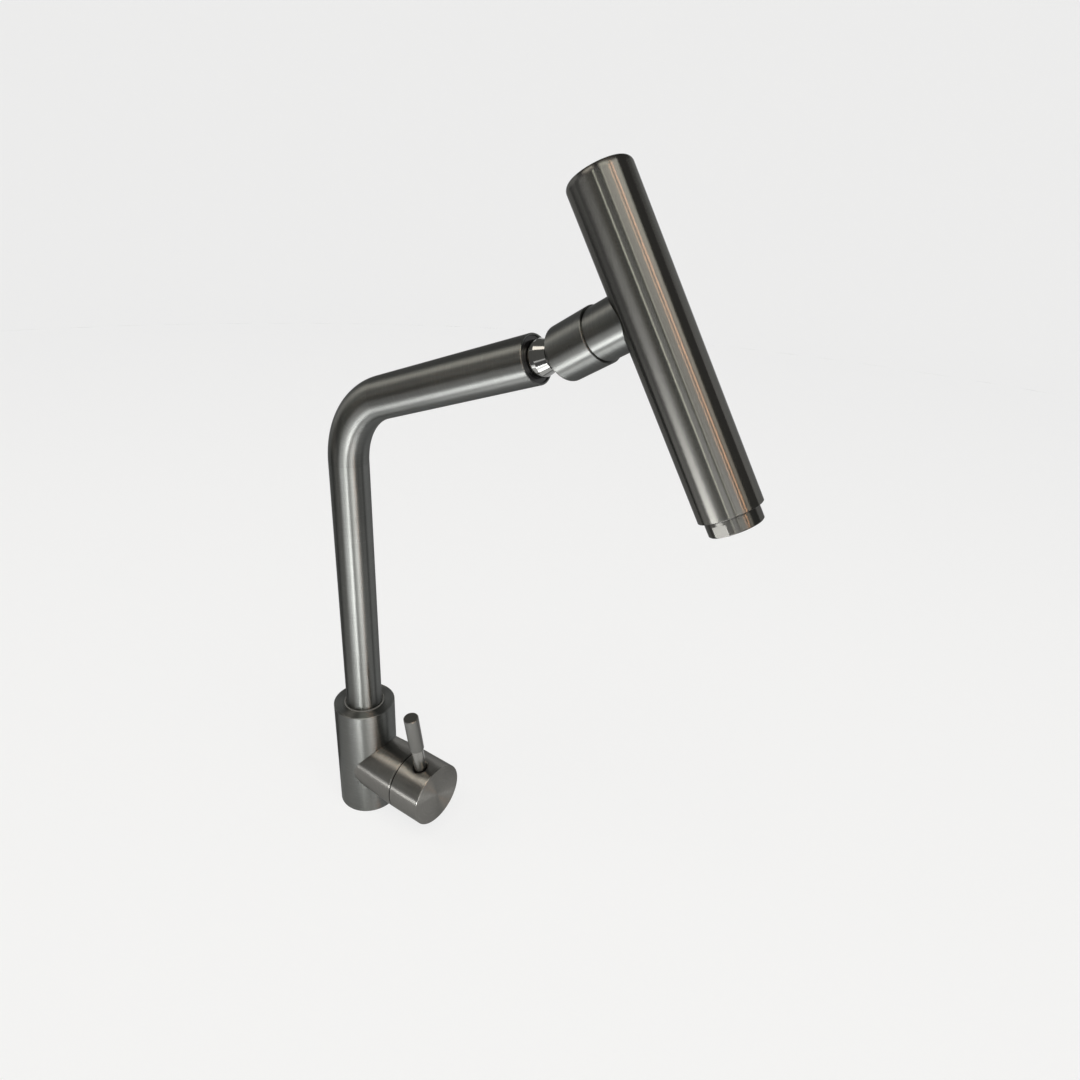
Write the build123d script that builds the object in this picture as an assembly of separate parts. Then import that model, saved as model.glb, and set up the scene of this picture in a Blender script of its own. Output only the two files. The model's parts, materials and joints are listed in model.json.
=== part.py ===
from build123d import *
from math import sqrt, tan, radians
import os

os.makedirs("parts", exist_ok=True)

# Single lever deck tap with a swivelling spout and a jointed spray head.
# Millimetres. Origin: centre of the seat on the deck. +Z is up, +X runs along the valve housing.

# Deck body
body_diameter = 45.0
body_height = 91.0
body_top_bevel = 0.5
body_foot_bevel = 0.3

# Side housing of the valve: a slightly tapered barrel whose end is part of a sphere
valve_height = 39.0
housing_diameter = 46.0
housing_reach = 45.0
housing_taper = 2.7
seam_bevel = 0.1
seam_gap = 0.5

# Fixing under the deck
shank_diameter = 32.0
shank_bore = 27.0
shank_length = 60.0
shank_engagement = 12.0
shank_free_end = 12.0
shank_groove_width = 2.0
shank_groove_depth = 0.8
deck_thickness = 30.0
clamp_washer_diameter = 52.0
rubber_washer_thickness = 3.0
steel_washer_thickness = 2.0
lock_nut_height = 8.0
lock_nut_flats = 41.0
seal_inner_diameter = 34.4
seal_outer_diameter = 40.4
seal_height = 1.5

# Water ways
inlet_spacing = 13.0
inlet_diameter = 8.92
inlet_depth = 12.0
channel_diameter = 7.0
outlet_channel_diameter = 8.0

# Mixing cartridge, sizes along the housing measured from the body axis
cartridge_diameter = 35.0
cartridge_back = 8.0
cartridge_base_thickness = 4.0
cartridge_front = 36.0
cartridge_wall = 3.0
front_lip_thickness = 2.0
fixed_disc_thickness = 3.0
moving_disc_thickness = 2.5
disc_carrier_thickness = 3.5
pivot_past_carrier = 5.0
moving_disc_diameter = 23.6
port_drop = 6.0
port_diameter = 6.0
outlet_port_rise = 7.0
port_seal_width = 1.2
port_seal_thickness = 1.0
rotor_neck_diameter = 24.6
rotor_front = 38.0
pivot_pin_diameter = 3.0
pivot_pin_length = 24.0
nut_diameter = 41.0
nut_bore = 28.8
spindle_diameter = 8.0
spindle_past_lever = 5.9
spindle_square = 5.6
finger_sink = 0.7
finger_neck_diameter = 4.0
finger_ball_diameter = 5.0
lift_angle = 18.0

# Handle
handle_rest_turn = 9.2
lever_past_seam = 4.27
cap_past_lever = 13.1
cap_face_round = 0.8
stem_diameter = 8.9
stem_seat = 9.2
stem_joint = 42.5
grip_top = 73.3
grip_diameter = 10.5
grip_engagement = 12.0
grip_top_bevel = 0.5
grip_foot_bevel = 0.2
lever_hole_diameter = 9.9
lever_hole_depth = 6.5
lever_hole_round = 1.5
grub_screw_diameter = 4.0
grub_screw_length = 11.5
grub_key_flats = 2.0
grub_key_depth = 3.0

# Spout tube
spout_diameter = 26.2
spout_wall = 1.0
spout_foot = 74.0
bend_height = 318.6
bend_radius = 52.0
spout_rise = 19.6
arm_length = 153.5
spout_swing = -0.4

# Swivel at the foot of the spout
socket_floor = 60.4
socket_diameter = 29.2
thrust_washer_thickness = 0.5
ferrule_bore = 16.0
ferrule_spigot = 12.0
o_ring_section = 1.9
o_ring_heights = (62.6, 70.6)
groove_height = 67.0
groove_width = 3.0
groove_depth = 1.3
set_screw_diameter = 4.0
slip_ring_depth = 7.0
slip_ring_rise = 0.8
slip_ring_diameter = 29.8
slip_ring_bead = 1.2

# Ball stem in the end of the spout
bushing_length = 13.0
bushing_recess = 0.8
stem_shaft_diameter = 19.3
stem_band = 4.75
stem_cone_end = 10.5
stem_cone_diameter = 15.4
stem_neck_start = 12.3
stem_neck_diameter = 11.6
stem_bore = 6.0
ball_reach = 20.7
ball_diameter = 18.6
ball_flat = 6.0
clip_thickness = 1.0
stem_clip_diameter = 22.4

# Swivel collar of the head
head_lean = 13.4
head_lean_way = 37.3
head_turn = 145.4
collar_diameter = 28.4
collar_mouth = 4.0
collar_end = 21.15
collar_mouth_round = 1.5
collar_bore = 21.2
seat_length = 8.0
seat_bore = 10.0
spring_washer_thickness = 1.2
sleeve_start = 9.5
sleeve_shoulder = 17.2
sleeve_thread_diameter = 18.0
sleeve_bore = 9.0
sleeve_end = 31.0
collar_clip_diameter = 22.8
collar_seam_gap = 0.45

# Spray head
head_reach = 50.65
stub_diameter = 26.5
head_diameter = 30.6
head_wall = 1.6
head_above = 60.0
head_below = 95.6
head_top_round = 3.5
head_foot_bevel = 0.3
core_half_height = 16.0
core_channel = 8.0
water_tube_diameter = 12.0
water_tube_wall = 1.5
water_tube_engagement = 4.0
outlet_plate_top = 78.0
outlet_plate_thickness = 5.0
aerator_thread_length = 11.0
aerator_diameter = 25.8
aerator_drop = 7.6
aerator_bore = 21.8
aerator_flats = 24.8
aerator_flat_length = 5.4
aerator_rim_bevel = 0.5
aerator_root_width = 0.6
aerator_root_depth = 0.4
aerator_set_back = 0.8
aerator_insert_length = 7.0
aerator_hole_diameter = 1.7
aerator_hole_pitch = 2.9
aerator_hole_rings = 3
screen_thickness = 0.6
regulator_thickness = 3.0

# Clearances
running_gap = 0.08
free_gap = 0.3
fixed_gap = 0.05

body_radius = body_diameter / 2
housing_radius = housing_diameter / 2
spout_radius = spout_diameter / 2
spout_bore_radius = spout_radius - spout_wall
head_radius = head_diameter / 2
carrier_front = (cartridge_back + cartridge_base_thickness + fixed_disc_thickness
                 + moving_disc_thickness + disc_carrier_thickness)
pivot_reach = carrier_front + pivot_past_carrier
finger_reach = pivot_past_carrier + finger_sink
seam_sphere = sqrt(housing_radius**2 + (housing_reach - pivot_reach)**2)
cap_sphere = seam_sphere + seam_gap
lever_reach = pivot_reach + seam_sphere + lever_past_seam
cap_end = lever_reach + cap_past_lever
spindle_end = lever_reach + spindle_past_lever
barrel_length = pivot_reach + seam_sphere

# Places of the moving groups. Along each one, z is its own axis.
valve_place = Pos(0, 0, valve_height) * Rot(0, 90, 0) * Rot(0, 0, 180)
handle_place = valve_place * Rot(0, 0, handle_rest_turn)
spout_place = Rot(0, 0, spout_swing)
arm_place = spout_place * Pos(0, 0, bend_height) * Rot(0, 90 - spout_rise, 0) * Rot(0, 0, 180)
stem_place = arm_place * Pos(0, 0, arm_length)
ball_place = stem_place * Pos(0, 0, ball_reach) * Rot(0, 0, head_lean_way)
collar_place = ball_place * Rot(0, head_lean, 0)
head_place = collar_place * Pos(0, 0, head_reach) * Rot(0, 0, head_turn) * Rot(0, 90, 0)


def rod(radius, start, end):
    """A round bar along z."""
    return Pos(0, 0, start) * Cylinder(radius, end - start, align=(Align.CENTER, Align.CENTER, Align.MIN))


def ring(outer_radius, inner_radius, start, end):
    """A plain ring along z."""
    return rod(outer_radius, start, end) - rod(inner_radius, start, end)


def turned(*points):
    """A lathe form from (radius, height) points."""
    outline = Polyline(*[(radius, 0, height) for radius, height in points], close=True)
    return revolve(make_face(outline), Axis.Z, 360)


def cross_rod(radius, start, end):
    """A round bar along x."""
    return Rot(0, 90, 0) * rod(radius, start, end)


def round_edges(solid, radius, tolerance=0.01):
    """The circular edges of a solid that have this radius."""
    circles = solid.edges().filter_by(GeomType.CIRCLE)
    return circles.filter_by(lambda edge: abs(edge.radius - radius) < tolerance)


def save(name, *solids):
    """Write one node, as one solid or a group of separate solids."""
    shape = solids[0] if len(solids) == 1 else Compound(children=list(solids))
    export_step(shape, "parts/" + name + ".step")


def cartridge_hole():
    """The stepped hole that takes the cartridge and its nut."""
    hole = rod(cartridge_diameter / 2 + fixed_gap, cartridge_back, cartridge_front)
    return valve_place * (hole + rod(nut_diameter / 2 + fixed_gap, cartridge_front, barrel_length + 1))


def body_shell():
    """Machined body with the spout socket and the water ways."""
    column = rod(body_radius, 0, body_height)
    column = chamfer(column.edges().sort_by(Axis.Z)[-1], body_top_bevel)
    column = chamfer(column.edges().sort_by(Axis.Z)[0], body_foot_bevel)
    shell = column - cartridge_hole()
    shell -= rod(socket_diameter / 2, socket_floor, body_height + 1)
    shell -= rod(shank_diameter / 2 + fixed_gap, -1, shank_engagement)
    shell -= ring(seal_outer_diameter / 2, seal_inner_diameter / 2, -1, seal_height)
    for side in (-1, 1):
        inlet = rod(inlet_diameter / 2, shank_engagement - 1, shank_engagement + inlet_depth)
        rise = rod(channel_diameter / 2, shank_engagement, valve_height - port_drop)
        elbow = Pos(0, 0, valve_height - port_drop) * Sphere(channel_diameter / 2)
        run = Pos(0, 0, valve_height - port_drop) * cross_rod(port_diameter / 2, 0, cartridge_back + 1)
        shell -= Pos(0, side * inlet_spacing / 2, 0) * (inlet + rise + elbow + run)
    outlet_height = valve_height + outlet_port_rise
    shell -= Pos(0, 0, outlet_height) * cross_rod(port_diameter / 2, 0, cartridge_back + 1)
    shell -= Pos(0, 0, outlet_height) * Sphere(outlet_channel_diameter / 2)
    shell -= rod(outlet_channel_diameter / 2, outlet_height, socket_floor + 1)
    screw_hole = cross_rod(set_screw_diameter / 2 + fixed_gap, -body_diameter, -socket_diameter / 2 + 1)
    return shell - Pos(0, 0, groove_height) * screw_hole


def valve_housing():
    """Side barrel, welded to the body, whose open end the handle's cap swings on."""
    spread = tan(radians(housing_taper))
    barrel_foot = housing_radius - housing_reach * spread
    barrel_tip = barrel_foot + barrel_length * spread
    barrel = Cone(barrel_foot, barrel_tip, barrel_length, align=(Align.CENTER, Align.CENTER, Align.MIN))
    barrel &= Pos(0, 0, pivot_reach) * Sphere(seam_sphere)
    barrel = chamfer(round_edges(barrel, housing_radius), seam_bevel)
    return valve_place * barrel - rod(body_radius + fixed_gap, 0, body_height) - cartridge_hole()


def base_seal():
    return ring(seal_outer_diameter / 2, seal_inner_diameter / 2, 0, seal_height)


def threaded_shank():
    outer = shank_diameter / 2
    shank = ring(outer, shank_bore / 2, -shank_length, shank_engagement)
    shank = chamfer(round_edges(shank, outer).sort_by(Axis.Z)[0], 1)
    groove_foot = shank_free_end - shank_length
    return shank - ring(outer + 1, outer - shank_groove_depth, groove_foot, groove_foot + shank_groove_width)


def clamp_washer(top, thickness, hole_gap):
    return ring(clamp_washer_diameter / 2, shank_diameter / 2 + hole_gap, top - thickness, top)


def lock_nut():
    top = -deck_thickness - rubber_washer_thickness - steel_washer_thickness
    hexagon = extrude(RegularPolygon(lock_nut_flats / 2, 6, major_radius=False), -lock_nut_height)
    crown = Pos(0, 0, -lock_nut_height) * Cone(lock_nut_flats / 2, lock_nut_flats, lock_nut_flats / 2,
                                               align=(Align.CENTER, Align.CENTER, Align.MIN))
    nut = hexagon & crown
    return Pos(0, 0, top) * (nut - rod(shank_diameter / 2 + running_gap, -lock_nut_height - 1, 1))


def port_places():
    """Centres of the two inlet ports and the outlet port, across the housing axis."""
    half = inlet_spacing / 2
    return [(-port_drop, -half), (-port_drop, half), (outlet_port_rise, 0)]


def port_holes(radius, start, end):
    holes = [Pos(across, side, 0) * rod(radius, start, end) for across, side in port_places()]
    return holes[0] + holes[1] + holes[2]


def cartridge_base():
    front = cartridge_back + cartridge_base_thickness
    base = rod(cartridge_diameter / 2, cartridge_back, front)
    base -= port_holes(port_diameter / 2, cartridge_back - 1, front + 1)
    seats = port_holes(port_diameter / 2 + port_seal_width, cartridge_back - 1, cartridge_back + port_seal_thickness)
    return valve_place * (base - seats)


def port_seals():
    inner = port_diameter / 2
    seal = ring(inner + port_seal_width, inner, cartridge_back, cartridge_back + port_seal_thickness)
    return [valve_place * Pos(across, side, 0) * seal for across, side in port_places()]


def fixed_disc():
    start = cartridge_back + cartridge_base_thickness
    disc = rod(cartridge_diameter / 2 - cartridge_wall - running_gap, start, start + fixed_disc_thickness)
    return valve_place * (disc - port_holes(port_diameter / 2, start - 1, start + fixed_disc_thickness + 1))


def cartridge_case():
    start = cartridge_back + cartridge_base_thickness
    case = rod(cartridge_diameter / 2, start, cartridge_front)
    case -= rod(cartridge_diameter / 2 - cartridge_wall, start - 1, cartridge_front - front_lip_thickness)
    return valve_place * (case - rod(rotor_neck_diameter / 2 + free_gap, start, cartridge_front + 1))


def dome_nut():
    nut = rod(nut_diameter / 2, cartridge_front, pivot_reach + seam_sphere)
    nut &= Pos(0, 0, pivot_reach) * Sphere(seam_sphere)
    return valve_place * (nut - rod(nut_bore / 2, cartridge_front - 1, pivot_reach + seam_sphere + 1))


def moving_disc():
    start = cartridge_back + cartridge_base_thickness + fixed_disc_thickness
    disc = rod(moving_disc_diameter / 2, start, start + moving_disc_thickness)
    chamber = Pos(0, 0, start) * Box(moving_disc_diameter / 2, moving_disc_diameter / 3, moving_disc_thickness)
    return handle_place * (disc - chamber)


def disc_carrier():
    start = cartridge_back + cartridge_base_thickness + fixed_disc_thickness + moving_disc_thickness
    carrier = rod(moving_disc_diameter / 2, start, start + disc_carrier_thickness)
    pocket = rod(finger_ball_diameter / 2 + free_gap, start - 1, start + disc_carrier_thickness + 1)
    return handle_place * (carrier - pocket)


def rotor():
    start = carrier_front + free_gap
    shoulder = cartridge_front - front_lip_thickness - running_gap
    body = rod(cartridge_diameter / 2 - cartridge_wall - free_gap, start, shoulder)
    body += rod(rotor_neck_diameter / 2, shoulder - 1, rotor_front)
    width = spindle_diameter + 2 * free_gap
    swing = (rotor_front - pivot_reach) * tan(radians(lift_angle)) + width / 2 + free_gap
    heel = width / 2 + free_gap
    slot_length = swing + heel
    slot = Pos((heel - swing) / 2, 0, (start + rotor_front) / 2)
    body -= slot * Box(slot_length, width, rotor_front - start + 2)
    hole = Pos(0, 0, pivot_reach) * Rot(90, 0, 0) * rod(pivot_pin_diameter / 2, -rotor_front, rotor_front)
    return handle_place * (body - hole)


def pivot_pin():
    half = pivot_pin_length / 2
    return handle_place * Pos(0, 0, pivot_reach) * Rot(90, 0, 0) * rod(pivot_pin_diameter / 2, -half, half)


def spindle():
    lower = pivot_reach - spindle_diameter / 4
    shaft = rod(spindle_diameter / 2, lower, spindle_end)
    square_start = pivot_reach + sqrt(cap_sphere**2 - (spindle_diameter / 2)**2) - free_gap
    square = Pos(0, 0, (square_start + spindle_end) / 2) * Box(spindle_square, spindle_square,
                                                              spindle_end - square_start)
    shaft -= rod(spindle_diameter, square_start, spindle_end) - square
    shaft += rod(finger_neck_diameter / 2, pivot_reach - finger_reach, lower + 1)
    shaft += Pos(0, 0, pivot_reach - finger_reach) * Sphere(finger_ball_diameter / 2)
    hole = Pos(0, 0, pivot_reach) * Rot(90, 0, 0) * rod(pivot_pin_diameter / 2 + running_gap, -spindle_end, spindle_end)
    return handle_place * (shaft - hole)


def handle_cap():
    cap = Rot(0, 0, 180) * rod(housing_radius, housing_reach, cap_end)
    cap = fillet(round_edges(cap, housing_radius).sort_by(Axis.Z)[-1], cap_face_round)
    cap -= Pos(0, 0, pivot_reach) * Sphere(cap_sphere)
    socket_start = pivot_reach + cap_sphere - 1
    socket = Box(spindle_square + 2 * fixed_gap, spindle_square + 2 * fixed_gap, spindle_end - socket_start + fixed_gap,
                 align=(Align.CENTER, Align.CENTER, Align.MIN))
    cap -= Pos(0, 0, socket_start) * socket
    mouth = cross_rod(lever_hole_diameter / 2, housing_radius - lever_hole_depth, housing_radius + 2)
    cap -= Pos(0, 0, lever_reach) * mouth
    rim = cap.edges().filter_by(GeomType.BSPLINE).filter_by(lambda edge: edge.center().X > stem_seat)
    cap = fillet(rim, lever_hole_round)
    cap -= Pos(0, 0, lever_reach) * cross_rod(stem_diameter / 2 + fixed_gap, stem_seat, housing_radius)
    screw_hole = cross_rod(grub_screw_diameter / 2 + fixed_gap, -housing_radius - 1, 0)
    return handle_place * (cap - Pos(0, 0, lever_reach) * screw_hole)


def lever_stem():
    stem = rod(stem_diameter / 2, stem_seat, stem_joint + grip_engagement)
    return handle_place * Pos(0, 0, lever_reach) * Rot(0, 90, 0) * stem


def lever_grip():
    grip = rod(grip_diameter / 2, stem_joint, grip_top)
    grip = chamfer(grip.edges().sort_by(Axis.Z)[-1], grip_top_bevel)
    grip = chamfer(grip.edges().sort_by(Axis.Z)[0], grip_foot_bevel)
    grip -= rod(stem_diameter / 2 + fixed_gap, stem_joint - 1, stem_joint + grip_engagement + fixed_gap)
    return handle_place * Pos(0, 0, lever_reach) * Rot(0, 90, 0) * grip


def grub_screw():
    tip = spindle_square / 2 + 2 * fixed_gap
    screw = rod(grub_screw_diameter / 2, tip, tip + grub_screw_length)
    key = extrude(RegularPolygon(grub_key_flats / 2, 6, major_radius=False), grub_key_depth + 1)
    screw -= Pos(0, 0, tip + grub_screw_length - grub_key_depth) * key
    return handle_place * Pos(0, 0, lever_reach) * Rot(0, -90, 0) * screw


def set_screw():
    tip = socket_diameter / 2 - groove_depth + free_gap
    screw = rod(set_screw_diameter / 2, socket_diameter / 2 + free_gap, body_radius - 1)
    screw += rod(groove_width / 2 - free_gap, tip, socket_diameter / 2 + 1)
    key = extrude(RegularPolygon(grub_key_flats * 0.6, 6, major_radius=False), grub_key_depth + 1)
    screw -= Pos(0, 0, body_radius - 1 - grub_key_depth) * key
    return Pos(0, 0, groove_height) * Rot(0, -90, 0) * screw


def thrust_washer():
    return ring(socket_diameter / 2 - free_gap, ferrule_bore / 2, socket_floor, socket_floor + thrust_washer_thickness)


def slip_ring():
    inner = spout_radius + running_gap
    sleeve = socket_diameter / 2 - fixed_gap
    outer = slip_ring_diameter / 2
    bead = outer - slip_ring_bead
    top = body_height + slip_ring_rise
    soft = slip_ring_rise * 0.4
    return turned((inner, body_height - slip_ring_depth), (sleeve, body_height - slip_ring_depth),
                  (sleeve, body_height), (outer, body_height), (outer, top - soft), (outer - soft, top),
                  (bead + soft, top), (bead, top - soft), (bead, body_height - soft), (inner, body_height - soft))


def spout_ferrule():
    drum_radius = socket_diameter / 2 - running_gap
    drum = rod(drum_radius, socket_floor + thrust_washer_thickness, spout_foot)
    drum += rod(spout_bore_radius - fixed_gap, spout_foot - 1, spout_foot + ferrule_spigot)
    for height in o_ring_heights:
        drum -= ring(drum_radius + 1, drum_radius - o_ring_section, height, height + o_ring_section)
    low = groove_height - groove_width / 2
    drum -= ring(drum_radius + 1, socket_diameter / 2 - groove_depth, low, low + groove_width)
    return spout_place * (drum - rod(ferrule_bore / 2, socket_floor, spout_foot + ferrule_spigot + 1))


def spout_o_rings():
    outer = socket_diameter / 2 - running_gap
    return [ring(outer, outer - o_ring_section, height, height + o_ring_section) for height in o_ring_heights]


def spout_tube():
    """Bent tube: upright, one bend, then the rising arm."""
    corner = Vector(0, 0, bend_height)
    reach = arm_place * Pos(0, 0, arm_length)
    path = FilletPolyline((0, 0, spout_foot), corner, reach.position, radius=bend_radius)
    foot = Plane((0, 0, spout_foot))
    outer = sweep(foot * Circle(spout_radius), path=path)
    inner = sweep(foot * Circle(spout_bore_radius), path=path)
    return outer - inner


def end_bushing():
    end = -bushing_recess
    return stem_place * ring(spout_bore_radius - fixed_gap, stem_shaft_diameter / 2 + running_gap,
                             end - bushing_length, end)


def stem_clip_start():
    return -bushing_recess - bushing_length - clip_thickness - running_gap


def ball_stem():
    """Polished stem: shaft in the arm, short band, cone, neck and ball."""
    shaft = stem_shaft_diameter / 2
    back = stem_clip_start() - 2 * clip_thickness
    stem = turned((0, back), (shaft, back), (shaft, stem_band), (stem_cone_diameter / 2, stem_cone_end),
                  (stem_neck_diameter / 2, stem_neck_start), (stem_neck_diameter / 2, ball_reach), (0, ball_reach))
    stem += Pos(0, 0, ball_reach) * Sphere(ball_diameter / 2)
    stem -= rod(ball_diameter, ball_reach + ball_flat, ball_reach + ball_diameter)
    stem -= rod(stem_bore / 2, back - 1, ball_reach + ball_flat + 1)
    clip = stem_clip_start()
    stem -= ring(shaft + 1, shaft - clip_thickness, clip, clip + clip_thickness)
    seal = -bushing_length / 2
    stem -= ring(shaft + 1, shaft - o_ring_section, seal, seal + o_ring_section)
    return stem_place * stem


def stem_o_ring():
    outer = stem_shaft_diameter / 2
    seal = -bushing_length / 2
    return stem_place * ring(outer, outer - o_ring_section, seal, seal + o_ring_section)


def stem_clip():
    start = stem_clip_start()
    inner = stem_shaft_diameter / 2 - clip_thickness
    return stem_place * ring(stem_clip_diameter / 2, inner, start, start + clip_thickness)


def ball_pocket():
    return Sphere(ball_diameter / 2 + running_gap)


def collar_clip_start():
    return sleeve_shoulder + free_gap


def swivel_collar():
    collar = rod(collar_diameter / 2, -collar_mouth, collar_end)
    collar = fillet(collar.edges().sort_by(Axis.Z)[0], collar_mouth_round)
    collar = chamfer(round_edges(collar, collar_diameter / 2).sort_by(Axis.Z)[-1], seam_bevel * 2)
    collar -= ball_pocket()
    collar -= rod(collar_bore / 2, 0, collar_end + 1)
    start = collar_clip_start()
    collar -= rod(collar_clip_diameter / 2, start, start + clip_thickness)
    return collar_place * collar


def ball_seat():
    seat = ring(collar_bore / 2 - fixed_gap, seat_bore / 2, fixed_gap, seat_length)
    return collar_place * (seat - ball_pocket())


def spring_washer():
    start = seat_length
    return collar_place * ring(collar_bore / 2 - free_gap, sleeve_bore, start, start + spring_washer_thickness)


def collar_clip():
    start = collar_clip_start()
    inner = sleeve_thread_diameter / 2 + free_gap
    return collar_place * ring(collar_clip_diameter / 2, inner, start, start + clip_thickness)


def swivel_sleeve():
    """Threaded sleeve that carries the head and turns inside the collar."""
    outer = collar_bore / 2 - running_gap
    sleeve = rod(outer, sleeve_start, sleeve_shoulder)
    sleeve += rod(sleeve_thread_diameter / 2, sleeve_shoulder - 1, sleeve_end)
    sleeve -= rod(sleeve_bore / 2, sleeve_start - 1, sleeve_end + 1)
    seal = (sleeve_start + sleeve_shoulder) / 2
    sleeve -= ring(outer + 1, outer - o_ring_section, seal, seal + o_ring_section)
    return collar_place * sleeve


def sleeve_o_ring():
    outer = collar_bore / 2 - running_gap
    seal = (sleeve_start + sleeve_shoulder) / 2
    return collar_place * ring(outer, outer - o_ring_section, seal, seal + o_ring_section)


def head_body():
    """Head tube closed at the top, with the hole for the swivel sleeve in its side."""
    tube = rod(head_radius, -head_above, head_below)
    tube = fillet(tube.edges().sort_by(Axis.Z)[0], min(head_top_round, head_radius / 2))
    tube = chamfer(round_edges(tube, head_radius).sort_by(Axis.Z)[-1], head_foot_bevel)
    tube -= rod(head_radius - head_wall, head_wall * 1.5 - head_above, head_below + 1)
    return head_place * (tube - sleeve_hole())


def sleeve_hole():
    return cross_rod(sleeve_thread_diameter / 2 + fixed_gap, 0, head_reach)


def head_stub():
    """Side stub, welded to the head tube, whose end meets the collar."""
    stub = cross_rod(stub_diameter / 2, 0, head_reach - collar_end - collar_seam_gap)
    stub = chamfer(round_edges(stub, stub_diameter / 2).sort_by(Axis.X)[-1], seam_bevel)
    stub -= rod(head_radius + fixed_gap, -head_above, head_below)
    return head_place * (stub - sleeve_hole())


def head_core():
    core = rod(head_radius - head_wall - fixed_gap, -core_half_height, core_half_height)
    core -= cross_rod(core_channel / 2, 0, head_radius)
    core -= Sphere(core_channel / 2)
    core -= rod(core_channel / 2, 0, core_half_height + 1)
    socket = core_half_height - water_tube_engagement
    core -= rod(water_tube_diameter / 2 + fixed_gap, socket, core_half_height + 1)
    return head_place * core


def water_tube():
    start = core_half_height - water_tube_engagement
    outer = water_tube_diameter / 2
    return head_place * ring(outer, outer - water_tube_wall, start, outlet_plate_top + water_tube_engagement)


def outlet_plate():
    end = outlet_plate_top + outlet_plate_thickness
    plate = rod(head_radius - head_wall - fixed_gap, outlet_plate_top, end)
    plate -= rod(water_tube_diameter / 2 + fixed_gap, outlet_plate_top - 1, outlet_plate_top + water_tube_engagement)
    return head_place * (plate - rod(water_tube_diameter / 2 - water_tube_wall, outlet_plate_top, end + 1))


def aerator_top():
    return head_below - aerator_thread_length


def aerator_tip():
    return head_below + aerator_drop


def aerator_housing():
    outer = aerator_diameter / 2
    housing = rod(outer, head_below, aerator_tip())
    housing = chamfer(housing.edges().sort_by(Axis.Z)[-1], aerator_rim_bevel)
    housing -= ring(outer + 1, outer - aerator_root_depth, head_below, head_below + aerator_root_width)
    housing += rod(head_radius - head_wall - fixed_gap, aerator_top(), head_below)
    housing -= rod(aerator_bore / 2, aerator_top() - 1, aerator_tip() + 1)
    for side in (-1, 1):
        flat = Box(aerator_diameter, aerator_diameter, aerator_flat_length + 1,
                   align=(Align.CENTER, Align.MIN, Align.MIN))
        turn = Rot(0, 0, 90 + side * 90)
        housing -= Pos(0, 0, aerator_tip() - aerator_flat_length) * turn * Pos(0, aerator_flats / 2, 0) * flat
    return head_place * housing


def insert_end():
    return aerator_tip() - aerator_set_back


def aerator_insert():
    """Outlet plate with rings of small holes."""
    start = insert_end() - aerator_insert_length
    insert = rod(aerator_bore / 2 - fixed_gap, start, insert_end())
    hole = rod(aerator_hole_diameter / 2, start - 1, insert_end() + 1)
    holes = [hole]
    for row in range(1, aerator_hole_rings + 1):
        holes += [place * hole for place in PolarLocations(row * aerator_hole_pitch, 6 * row)]
    return head_place * (insert - holes)


def aerator_screens():
    """Two fine discs above the outlet plate."""
    start = insert_end() - aerator_insert_length
    discs = []
    for step in (1, 3):
        low = start - step * screen_thickness
        disc = rod(aerator_bore / 2 - fixed_gap, low, low + screen_thickness)
        holes = [place * rod(aerator_hole_diameter / 2, low - 1, low + 2)
                 for place in PolarLocations(aerator_bore / 4, 12)]
        discs.append(head_place * (disc - holes))
    return discs


def flow_regulator():
    start = insert_end() - aerator_insert_length - 3 * screen_thickness
    return head_place * ring(aerator_bore / 2 - fixed_gap, core_channel / 4, start - regulator_thickness, start)


def aerator_seal():
    end = aerator_top()
    start = outlet_plate_top + outlet_plate_thickness
    return head_place * ring(head_radius - head_wall - fixed_gap, aerator_bore / 2, start, end)


rubber_top = -deck_thickness
steel_top = rubber_top - rubber_washer_thickness

save("body_shell", body_shell())
save("valve_housing", valve_housing())
save("base_seal", base_seal())
save("threaded_shank", threaded_shank())
save("rubber_clamp_washer", clamp_washer(rubber_top, rubber_washer_thickness, free_gap))
save("steel_clamp_washer", clamp_washer(steel_top, steel_washer_thickness, free_gap))
save("lock_nut", lock_nut())
save("cartridge_base", cartridge_base())
save("port_seals", *port_seals())
save("fixed_disc", fixed_disc())
save("cartridge_case", cartridge_case())
save("dome_nut", dome_nut())
save("moving_disc", moving_disc())
save("disc_carrier", disc_carrier())
save("rotor", rotor())
save("pivot_pin", pivot_pin())
save("spindle", spindle())
save("handle_cap", handle_cap())
save("lever_stem", lever_stem())
save("lever_grip", lever_grip())
save("handle_grub_screw", grub_screw())
save("spout_set_screw", set_screw())
save("thrust_washer", thrust_washer())
save("slip_ring", slip_ring())
save("spout_ferrule", spout_ferrule())
save("spout_o_rings", *spout_o_rings())
save("spout_tube", spout_tube())
save("end_bushing", end_bushing())
save("ball_stem", ball_stem())
save("stem_o_ring", stem_o_ring())
save("stem_clip", stem_clip())
save("swivel_collar", swivel_collar())
save("ball_seat", ball_seat())
save("spring_washer", spring_washer())
save("collar_clip", collar_clip())
save("swivel_sleeve", swivel_sleeve())
save("sleeve_o_ring", sleeve_o_ring())
save("head_body", head_body())
save("head_stub", head_stub())
save("head_core", head_core())
save("water_tube", water_tube())
save("outlet_plate", outlet_plate())
save("aerator_housing", aerator_housing())
save("aerator_insert", aerator_insert())
save("aerator_screens", *aerator_screens())
save("flow_regulator", flow_regulator())
save("aerator_seal", aerator_seal())
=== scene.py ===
import json
from math import asin, cos, pi, radians, sin, tan

import bpy
from mathutils import Matrix, Vector

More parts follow.
